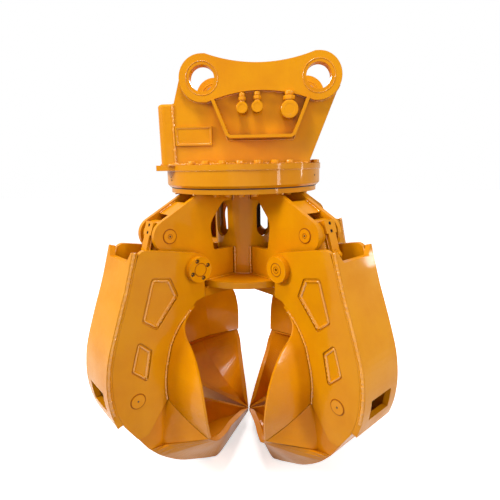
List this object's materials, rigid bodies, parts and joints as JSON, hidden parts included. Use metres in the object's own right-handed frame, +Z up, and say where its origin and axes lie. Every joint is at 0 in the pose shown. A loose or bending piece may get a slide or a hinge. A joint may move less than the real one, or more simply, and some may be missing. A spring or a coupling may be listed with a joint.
{
  "type": "orange peel grab",
  "caption": "Hydraulic orange peel grab with a slewing hanger head, a frame of arms and cylinder-driven tines that close into a bowl.",
  "frame": {"origin": "on the floor under the slewing axis", "axes": "+Z up along the slewing axis, the two hanger pins spaced along X with their axes along Y, front with the oil ports at -Y"},
  "size_m": [1.2532, 1.2532, 1.736],
  "materials": {
    "orange_paint": "gloss golden orange paint",
    "shell_paint": "gloss golden orange paint, worn inside",
    "scoop_paint": "gloss golden orange paint over cast steel",
    "pin_paint": "gloss golden orange paint",
    "barrel_paint": "gloss golden orange paint",
    "bolt_paint": "gloss golden orange paint",
    "bush_steel": "machined steel with paint at the rim",
    "bearing_steel": "ground bearing steel",
    "cast_steel": "dark cast housing",
    "seal_rubber": "black nitrile seal",
    "rod_chrome": "hard chrome plated rod"
  },
  "bodies": {
    "head": {"front_ear_plate": "orange_paint", "rear_ear_plate": "orange_paint", "saddle_plates": "orange_paint", "ear_bushes": "bush_steel", "bracket_web": "orange_paint", "motor_cover": "orange_paint", "head_flange": "orange_paint", "flange_bolts": "bolt_paint", "port_guard": "orange_paint", "oil_ports": "orange_paint", "name_plate": "orange_paint", "bearing_housing": "orange_paint", "outer_race": "bearing_steel", "slew_balls": "bearing_steel", "slew_motor": "cast_steel", "swivel_stem": "bearing_steel", "slew_seal": "seal_rubber"},
    "pinion": {"drive_pinion": "bearing_steel"},
    "frame": {"gear_race": "bearing_steel", "lower_ring": "orange_paint", "ring_bolts": "bolt_paint", "centre_tube": "orange_paint", "swivel_housing": "cast_steel", "arm_1": "orange_paint", "arm_2": "orange_paint", "arm_3": "orange_paint", "arm_4": "orange_paint", "arm_covers": "orange_paint", "bottom_disc": "orange_paint", "stop_ribs": "orange_paint", "upper_pins": "pin_paint"},
    "tine_1": {"tine_1_sides": "orange_paint", "tine_1_back": "orange_paint", "tine_1_shell": "shell_paint", "tine_1_scoop": "scoop_paint", "tine_1_pins": "pin_paint"},
    "barrel_1": {"barrel_1": "barrel_paint"},
    "rod_1": {"rod_1": "rod_chrome"},
    "tine_2": {"tine_2_sides": "orange_paint", "tine_2_back": "orange_paint", "tine_2_shell": "shell_paint", "tine_2_scoop": "scoop_paint", "tine_2_pins": "pin_paint"},
    "barrel_2": {"barrel_2": "barrel_paint"},
    "rod_2": {"rod_2": "rod_chrome"},
    "tine_3": {"tine_3_sides": "orange_paint", "tine_3_back": "orange_paint", "tine_3_shell": "shell_paint", "tine_3_scoop": "scoop_paint", "tine_3_pins": "pin_paint"},
    "barrel_3": {"barrel_3": "barrel_paint"},
    "rod_3": {"rod_3": "rod_chrome"},
    "tine_4": {"tine_4_sides": "orange_paint", "tine_4_back": "orange_paint", "tine_4_shell": "shell_paint", "tine_4_scoop": "scoop_paint", "tine_4_pins": "pin_paint"},
    "barrel_4": {"barrel_4": "barrel_paint"},
    "rod_4": {"rod_4": "rod_chrome"}
  },
  "joints": [
    {"name": "slew", "type": "hinge", "parent": "head", "child": "frame", "pos_m": [0, 0, 1.2665], "axis": [0, 0, 1], "continuous": true},
    {"name": "pinion_spin", "type": "hinge", "parent": "head", "child": "pinion", "pos_m": [-0.168, 0, 1.26], "axis": [0, 0, 1], "continuous": true},
    {"name": "tine_1_swing", "type": "hinge", "parent": "frame", "child": "tine_1", "pos_m": [-0.2542, -0.22984, 0.919], "axis": [-0.6707, 0.7417, 0], "range_deg": [0, 55]},
    {"name": "barrel_1_swing", "type": "hinge", "parent": "frame", "child": "barrel_1", "pos_m": [-0.32244, -0.29155, 1.058], "axis": [-0.6707, 0.7417, 0], "range_deg": [0, 51]},
    {"name": "rod_1_slide", "type": "slide", "parent": "barrel_1", "child": "rod_1", "axis": [0.2338, 0.2114, 0.949], "range_m": [0, 0.15]},
    {"name": "tine_2_swing", "type": "hinge", "parent": "frame", "child": "tine_2", "pos_m": [0.22984, -0.2542, 0.919], "axis": [-0.7417, -0.6707, 0], "range_deg": [0, 55]},
    {"name": "barrel_2_swing", "type": "hinge", "parent": "frame", "child": "barrel_2", "pos_m": [0.29155, -0.32244, 1.058], "axis": [-0.7417, -0.6707, 0], "range_deg": [0, 51]},
    {"name": "rod_2_slide", "type": "slide", "parent": "barrel_2", "child": "rod_2", "axis": [-0.2114, 0.2338, 0.949], "range_m": [0, 0.15]},
    {"name": "tine_3_swing", "type": "hinge", "parent": "frame", "child": "tine_3", "pos_m": [0.2542, 0.22984, 0.919], "axis": [0.6707, -0.7417, 0], "range_deg": [0, 55]},
    {"name": "barrel_3_swing", "type": "hinge", "parent": "frame", "child": "barrel_3", "pos_m": [0.32244, 0.29155, 1.058], "axis": [0.6707, -0.7417, 0], "range_deg": [0, 51]},
    {"name": "rod_3_slide", "type": "slide", "parent": "barrel_3", "child": "rod_3", "axis": [-0.2338, -0.2114, 0.949], "range_m": [0, 0.15]},
    {"name": "tine_4_swing", "type": "hinge", "parent": "frame", "child": "tine_4", "pos_m": [-0.22984, 0.2542, 0.919], "axis": [0.7417, 0.6707, 0], "range_deg": [0, 55]},
    {"name": "barrel_4_swing", "type": "hinge", "parent": "frame", "child": "barrel_4", "pos_m": [-0.29155, 0.32244, 1.058], "axis": [0.7417, 0.6707, 0], "range_deg": [0, 51]},
    {"name": "rod_4_slide", "type": "slide", "parent": "barrel_4", "child": "rod_4", "axis": [0.2114, -0.2338, 0.949], "range_m": [0, 0.15]}
  ],
  "couplings": [
    {"joint": "pinion_spin", "follows": "slew", "ratio": 4},
    {"joint": "barrel_1_swing", "follows": "tine_1_swing", "ratio": 0.917},
    {"joint": "rod_1_slide", "follows": "tine_1_swing", "m_per_rad": 0.154},
    {"joint": "barrel_2_swing", "follows": "tine_2_swing", "ratio": 0.917},
    {"joint": "rod_2_slide", "follows": "tine_2_swing", "m_per_rad": 0.154},
    {"joint": "barrel_3_swing", "follows": "tine_3_swing", "ratio": 0.917},
    {"joint": "rod_3_slide", "follows": "tine_3_swing", "m_per_rad": 0.154},
    {"joint": "barrel_4_swing", "follows": "tine_4_swing", "ratio": 0.917},
    {"joint": "rod_4_slide", "follows": "tine_4_swing", "m_per_rad": 0.154}
  ]
}
